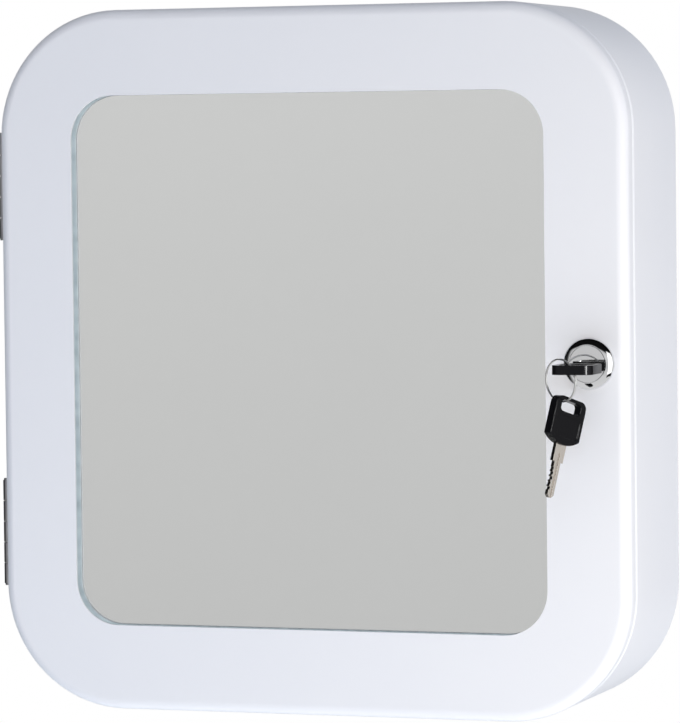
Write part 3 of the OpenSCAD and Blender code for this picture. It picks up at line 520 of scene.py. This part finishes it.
def splitRing(r):
    bpy.ops.object.select_all(action="DESELECT")
    bpy.ops.mesh.primitive_circle_add(
        vertices=r["wireSides"], radius=0.5, fill_type="NOTHING", rotation=(rad(90), 0, 0))
    obj = bpy.context.object
    bpy.ops.object.transform_apply(location=True, rotation=True, scale=True)
    edit(obj)
    bpy.ops.transform.resize(value=(r["wireAcross"] * mm, 1, r["wireThick"] * mm))
    bpy.ops.transform.translate(value=(r["r"] * mm, 0, -r["pitch"] * mm))
    done()
    finished(obj, "SCREW", steps=r["turnSteps"], render_steps=r["turnSteps"], iterations=r["turns"],
             screw_offset=r["pitch"] * mm, use_merge_vertices=False)
    edit(obj)
    bpy.ops.mesh.select_mode(type="EDGE")
    bpy.ops.mesh.select_all(action="DESELECT")
    bpy.ops.mesh.select_non_manifold()
    bpy.ops.mesh.fill_holes(sides=0)
    bpy.ops.mesh.select_all(action="SELECT")
    bpy.ops.mesh.normals_make_consistent(inside=False)
    done()
    bpy.ops.object.shade_smooth_by_angle(angle=rad(r["smoothUnder"]))
    turn = Matrix.Rotation(rad(r["yaw"]), 4, "Z") @ Matrix.Rotation(rad(r["tilt"] + 90), 4, "X")
    placed(obj, "split_ring", Matrix.Translation(ringAt * mm) @ turn)
    keep(obj, ringSteel, "key_ring")


def copied(obj, name):
    twin = bpy.data.objects.new(name, obj.data.copy())
    bpy.context.collection.objects.link(twin)
    return twin


onRing = spareTurn(ring, spare, key)
for made, mat, plain in ((keyBow(key), blackAbs, "key_bow"), (keyBlade(key), nickel, "key_blade")):
    other = copied(made, "copy")
    placed(made, plain + "_made", inLock)
    placed(other, "spare_" + plain + "_made", onRing)
    keep(made, mat, plain)
    keep(other, mat, "spare_" + plain)
splitRing(ring)
print("keys made")

# The lock's barrel turns about the way out of the door, from a section given as radius and depth
barrel = {
    "lipR": 8.05, "lipEdge": 0.15, "bezelR": 10.9, "bezelSteps": 16, "top": 3.2, "foot": 0.8,
    "startTilt": 27, "seatR": 7.7, "seat": 0.9, "boreR": 5.05,
    "threadR": 9, "threadDeep": 0.45, "threadPitch": 1, "threads": 9, "threadEnd": -9.4,
    "threadTip": 0.2, "flats": 16.2, "neckR": 6.5, "neckEnd": -13.9,
    "slotFrom": 73, "slotAngle": 124, "slotDeep": 1.7, "slotInR": 4.5, "slotOutR": 8,
    "slotSteps": 32, "steps": 96, "aside": 12, "smoothUnder": 14,
}
sameWithin = 0.001  # mm between corners that a turned section leaves in one place


def turned(name, section, steps, start=0, angle=360):  # a section swept about the lock's axis
    bpy.ops.object.select_all(action="DESELECT")
    first = lockAt + Vector((section[0][0], -section[0][1], 0))
    bpy.ops.mesh.primitive_plane_add(size=mm, location=first * mm)
    obj = bpy.context.object
    obj.name = name
    bpy.ops.object.transform_apply(location=True, rotation=True, scale=True)
    edit(obj)
    bpy.ops.mesh.select_mode(type="VERT")
    bpy.ops.mesh.select_all(action="SELECT")
    bpy.ops.mesh.merge(type="CENTER")
    for (r0, z0), (r1, z1) in zip(section, section[1:] + section[:1]):
        step = {"value": ((r1 - r0) * mm, -(z1 - z0) * mm, 0)}
        bpy.ops.mesh.extrude_vertices_move(TRANSFORM_OT_translate=step)
    merge(sameWithin)
    if angle < 360:
        bpy.ops.mesh.edge_face_add()
    bpy.ops.mesh.select_all(action="SELECT")
    centre = lockAt * mm
    bpy.ops.transform.rotate(value=rad(start), orient_axis="Y", center_override=centre)
    bpy.ops.mesh.spin(steps=steps, angle=rad(angle), center=centre, axis=(0, -1, 0))
    merge(sameWithin)
    bpy.ops.mesh.normals_make_consistent(inside=False)
    done()
    return obj


def lockBarrel(b):
    seat, lip, top = b["seatR"], b["lipR"], b["top"]
    section = [(seat, b["seat"]), (seat, top - b["lipEdge"])]
    section += [(seat + b["lipEdge"], top), (lip, top)]
    # the bezel falls away at once from its lip, and rounds down to the door
    first = rad(b["startTilt"])
    for i in range(1, b["bezelSteps"] + 1):
        tilt = rad(b["startTilt"] + (90 - b["startTilt"]) * i / b["bezelSteps"])
        out = (math.sin(tilt) - math.sin(first)) / (1 - math.sin(first))
        rise = math.cos(tilt) / math.cos(first)
        section.append((lip + (b["bezelR"] - lip) * out, b["foot"] + (top - b["foot"]) * rise))
    section += [(b["bezelR"], 0), (b["threadR"], 0)]
    root, pitch = b["threadR"] - b["threadDeep"], b["threadPitch"]
    for i in range(b["threads"]):
        section += [(root, -(i + 0.5) * pitch), (b["threadR"], -(i + 1) * pitch)]
    section += [(b["threadR"] - b["threadTip"], b["threadEnd"]), (b["neckR"], b["threadEnd"])]
    section += [(b["neckR"], b["neckEnd"]), (b["boreR"], b["neckEnd"]), (b["boreR"], b["seat"])]
    obj = turned("lock_barrel", section, b["steps"])
    x, y, aside = lockAt.x, lockAt.y, b["aside"]
    front, back = y + near, y - b["threadEnd"] + outside
    for side in (-1, 1):
        low, high = sorted((side * b["flats"] / 2, side * aside))
        cut(obj, block("tool", (x - aside, front, low), (x + aside, back, high)))
    # the stop washer's lug swings in a slot across the neck
    low, high = b["neckEnd"] - outside, b["neckEnd"] + b["slotDeep"]
    inner, outer = b["slotInR"], b["slotOutR"]
    slot = [(inner, low), (outer, low), (outer, high), (inner, high)]
    cut(obj, turned("tool", slot, b["slotSteps"], b["slotFrom"], b["slotAngle"]))
    only(obj)
    bpy.ops.object.shade_smooth_by_angle(angle=rad(b["smoothUnder"]))
    keep(obj, chrome, "lock_housing")


lockBarrel(barrel)
print("lock barrel made")

# Round edges on the sheet and the hardware, in mm
edgeRounds = {
    "door_panel": 0.3, "cabinet_shell": 0.3, "back_panel": 0.3, "upper_shelf": 0.25,
    "lower_shelf": 0.25, "lock_plug": 0.2, "mirror_clips": 0.2, "clip_nuts": 0.25, "lock_nut": 0.3,
    "lock_cam": 0.3, "cam_screw": 0.25, "cam_washer": 0.15, "upper_hinge_door_leaf": 0.15,
    "lower_hinge_door_leaf": 0.15, "upper_hinge_body_leaf": 0.15, "lower_hinge_body_leaf": 0.15,
    "hinge_rivets": 0.25, "shelf_rivets": 0.25,
}
edge = {"steps": 2, "over": 32, "sameWithin": 0.002, "flatUnder": 0.4, "smoothUnder": 50}
for node, width in edgeRounds.items():
    obj = copied(nodes[node], node + "_finished")
    edit(obj)
    merge(edge["sameWithin"])
    bpy.ops.mesh.dissolve_limited(angle_limit=rad(edge["flatUnder"]))
    done()
    soften(obj, width, edge["steps"], edge["over"])
    # rounds that meet at a narrow place leave slivers of no size
    edit(obj)
    merge(edge["sameWithin"])
    done()
    bpy.ops.mesh.customdata_custom_splitnormals_clear()
    bpy.ops.object.shade_smooth_by_angle(angle=rad(edge["smoothUnder"]))
    # the flats stay flat, and each round begins from them without a crease
    finished(obj, "WEIGHTED_NORMAL", mode="FACE_AREA", keep_sharp=True)
    keep(obj, finishes[node], node)
print("edges rounded")

# A pale floor far below lights the paint from beneath, and fades to white towards its rim
floorSet = {
    "radius": 1.5, "sides": 96, "below": 0.42, "fadeFrom": 0.75, "fadeTo": 1.4, "colour": "f5f5f6",
    "rough": 0.9, "glow": 0.83, "tint": (0.85, 0.915, 1, 1),
}


def paleFloor(f):
    matt = {"Base Color": fromHex(f["colour"]), "Roughness": f["rough"]}
    mat, tree, shader, place = newMaterial("paleFloor", **matt)
    away = addNode(tree, "ShaderNodeVectorMath", {0: place}, operation="LENGTH").outputs["Value"]
    fade = ranged(tree, away, 0, 1, f["fadeFrom"], f["fadeTo"], interpolation_type="SMOOTHSTEP")
    feed(tree, shader, {
        "Emission Color": blended(tree, fade, f["tint"], (1, 1, 1, 1)),
        "Emission Strength": ranged(tree, fade, f["glow"], 1.0),
    })
    return mat


bpy.ops.object.select_all(action="DESELECT")
under = (0, 0, -floorSet["below"])
bpy.ops.mesh.primitive_circle_add(
    vertices=floorSet["sides"], radius=floorSet["radius"], fill_type="NGON", location=under)
floor = bpy.context.object
floor.name = "floor"
floor.data.materials.append(paleFloor(floorSet))
floor.visible_glossy = False
floor.visible_transmission = False


def addBox(name, s, aim):  # an area lamp that looks at a point, with sizes in metres
    away = aimedBack(s["azimuth"], s["elevation"])
    data = bpy.data.lights.new(name, "AREA")
    data.shape, data.energy, data.color = "RECTANGLE", s["power"], fromHex(s["colour"])[:3]
    data.size, data.size_y = s["size"]
    lamp = bpy.data.objects.new(name, data)
    bpy.context.collection.objects.link(lamp)
    turn = away.to_track_quat("Z", "Y").to_matrix().to_4x4()
    lamp.matrix_world = Matrix.Translation(aim + away * s["distance"]) @ turn
    return lamp


# Softboxes that light the paint, and are out of sight in it
softboxes = {
    "lowSoftbox": {
        "azimuth": 55, "elevation": -9, "distance": 0.745, "size": (0.5, 0.14), "power": 2.0,
        "colour": "fff2dc", "shadow": False,  # it fills the paint with no edge of a shadow
    },
    "topSoftbox": {
        "azimuth": 0, "elevation": 60, "distance": 1.8, "size": (1.4, 0.8), "power": 10.2,
        "colour": "fdfdff", "shadow": True,
    },
}
for name, box in softboxes.items():
    lamp = addBox(name, box, Vector())
    lamp.visible_glossy = False
    lamp.visible_transmission = False
    lamp.data.use_shadow = box["shadow"]

# A card that only the keys' bows see, for the glint on their corners
card = {
    "azimuth": 25, "elevation": 8, "distance": 0.6, "size": (0.22, 0.34), "power": 15,
    "colour": "ffffff",
}
lamp = addBox("keyCard", card, lockAt * mm)
lamp.visible_camera = False
bows = bpy.data.collections.new("bows")
for name in ("key_bow_made", "spare_key_bow_made"):
    bows.objects.link(bpy.data.objects[name])
lamp.light_linking.receiver_collection = bows

# The room, by the x, y and z of a direction: paint takes a wide band of light above the horizon,
# and mirror, chrome and gloss see a grey wall in front, dark ceiling and left side, a tall softbox
# on the right with a dark gap under it, and a pale wall behind
room = {
    "leftBand": (0.4, 0.42, 0.48, 1), "rightBand": (1.55, 1.7, 2.02, 1), "sideSoft": 0.1,
    "bandFrom": 0.12, "bandTo": 0.45, "bandSoft": 0.04,
    "wall": [
        (0.0, 0.72), (0.28, 0.68), (0.42, 0.56), (0.53, 0.689), (0.60, 0.70), (0.66, 0.55),
        (0.70, 0.006), (1.0, 0.004),
    ],
    "leftFrom": -0.85, "leftTo": -0.6, "leftDark": 0.02,
    "rearFrom": 0.3, "rearTo": 0.6, "rearDark": 0.08,
    "softbox": 1.2, "softboxFrom": 0.52, "softboxLow": -0.48, "softboxHigh": 0.5,
    "softboxSoft": 0.03, "softboxFront": -0.15, "softboxRear": -0.05,
    "gapLow": -0.64, "gapLowEnd": -0.61, "gapHigh": -0.5,
    "behind": 0.7, "behindLow": -0.15, "behindHigh": 0.35,
}
world = bpy.data.worlds.new("studio")
bpy.context.scene.world = world
world.use_nodes = True
tree = world.node_tree
tree.nodes.clear()
place = addNode(tree, "ShaderNodeTexCoord").outputs["Generated"]
x, y, z = addNode(tree, "ShaderNodeSeparateXYZ", {0: place}).outputs


def ease(value, start, end, low=0.0, high=1.0):  # a soft step
    return ranged(tree, value, low, high, start, end, interpolation_type="SMOOTHSTEP")


def joined(how, first, *more):  # one sum or product of several values
    for other in more:
        first = addNode(tree, "ShaderNodeMath", {0: first, 1: other}, operation=how).outputs[0]
    return first


def bright(colour, strength):  # what a direction of the room sends out
    return addNode(tree, "ShaderNodeBackground", {"Color": colour, "Strength": strength}).outputs[0]


r = room
white = (1, 1, 1, 1)
underTop = ease(z, r["bandTo"] - r["bandSoft"], r["bandTo"] + r["bandSoft"], 1, 0)
overFoot = ease(z, r["bandFrom"] - r["bandSoft"], r["bandFrom"] + r["bandSoft"])
sides = blended(tree, ease(x, -r["sideSoft"], r["sideSoft"]), r["leftBand"], r["rightBand"])
lighting = bright(sides, joined("MULTIPLY", overFoot, underTop))

wall = addNode(tree, "ShaderNodeValToRGB", {0: ranged(tree, z, 0, 1, -1.0, 1.0)})
while len(wall.color_ramp.elements) < len(r["wall"]):
    wall.color_ramp.elements.new(0.5)
for element, (pos, level) in zip(wall.color_ramp.elements, r["wall"]):
    element.position, element.color = pos, (level, level, level, 1)

soft, low, high = r["softboxSoft"], r["softboxLow"], r["softboxHigh"]
onRight = ease(x, r["softboxFrom"] - soft, r["softboxFrom"] + soft)
gapTop = ease(z, r["gapHigh"], low, 1, 0)
gap = joined("MULTIPLY", onRight, ease(z, r["gapLow"], r["gapLowEnd"]), gapTop)
onLeft = ease(x, r["leftFrom"], r["leftTo"], r["leftDark"])
toRear = ease(y, r["rearFrom"], r["rearTo"], 1, r["rearDark"])
shade = joined("MULTIPLY", onLeft, toRear, joined("SUBTRACT", 1, gap))
inFront = ease(y, r["softboxFront"], r["softboxRear"], 1, 0)
tall = joined("MULTIPLY", ease(z, low, low + soft), ease(z, high - soft, high, 1, 0))
softbox = joined("MULTIPLY", onRight, tall, inFront, r["softbox"])
rising = ease(z, r["behindLow"], r["behindHigh"])
behind = joined("MULTIPLY", rising, underTop, ease(y, r["rearFrom"], r["rearTo"]), r["behind"])
shaded = joined("MULTIPLY", wall.outputs[0], shade)
reflected = bright(white, joined("ADD", shaded, softbox, behind))

ray = addNode(tree, "ShaderNodeLightPath").outputs
mirrored = joined("MAXIMUM", ray["Is Glossy Ray"], ray["Is Transmission Ray"])
seen = addNode(tree, "ShaderNodeMixShader", {0: mirrored, 1: lighting, 2: reflected}).outputs[0]
backdrop = {0: ray["Is Camera Ray"], 1: seen, 2: bright(white, 1.0)}
seen = addNode(tree, "ShaderNodeMixShader", backdrop).outputs[0]
addNode(tree, "ShaderNodeOutputWorld", {"Surface": seen})
print("stage set")
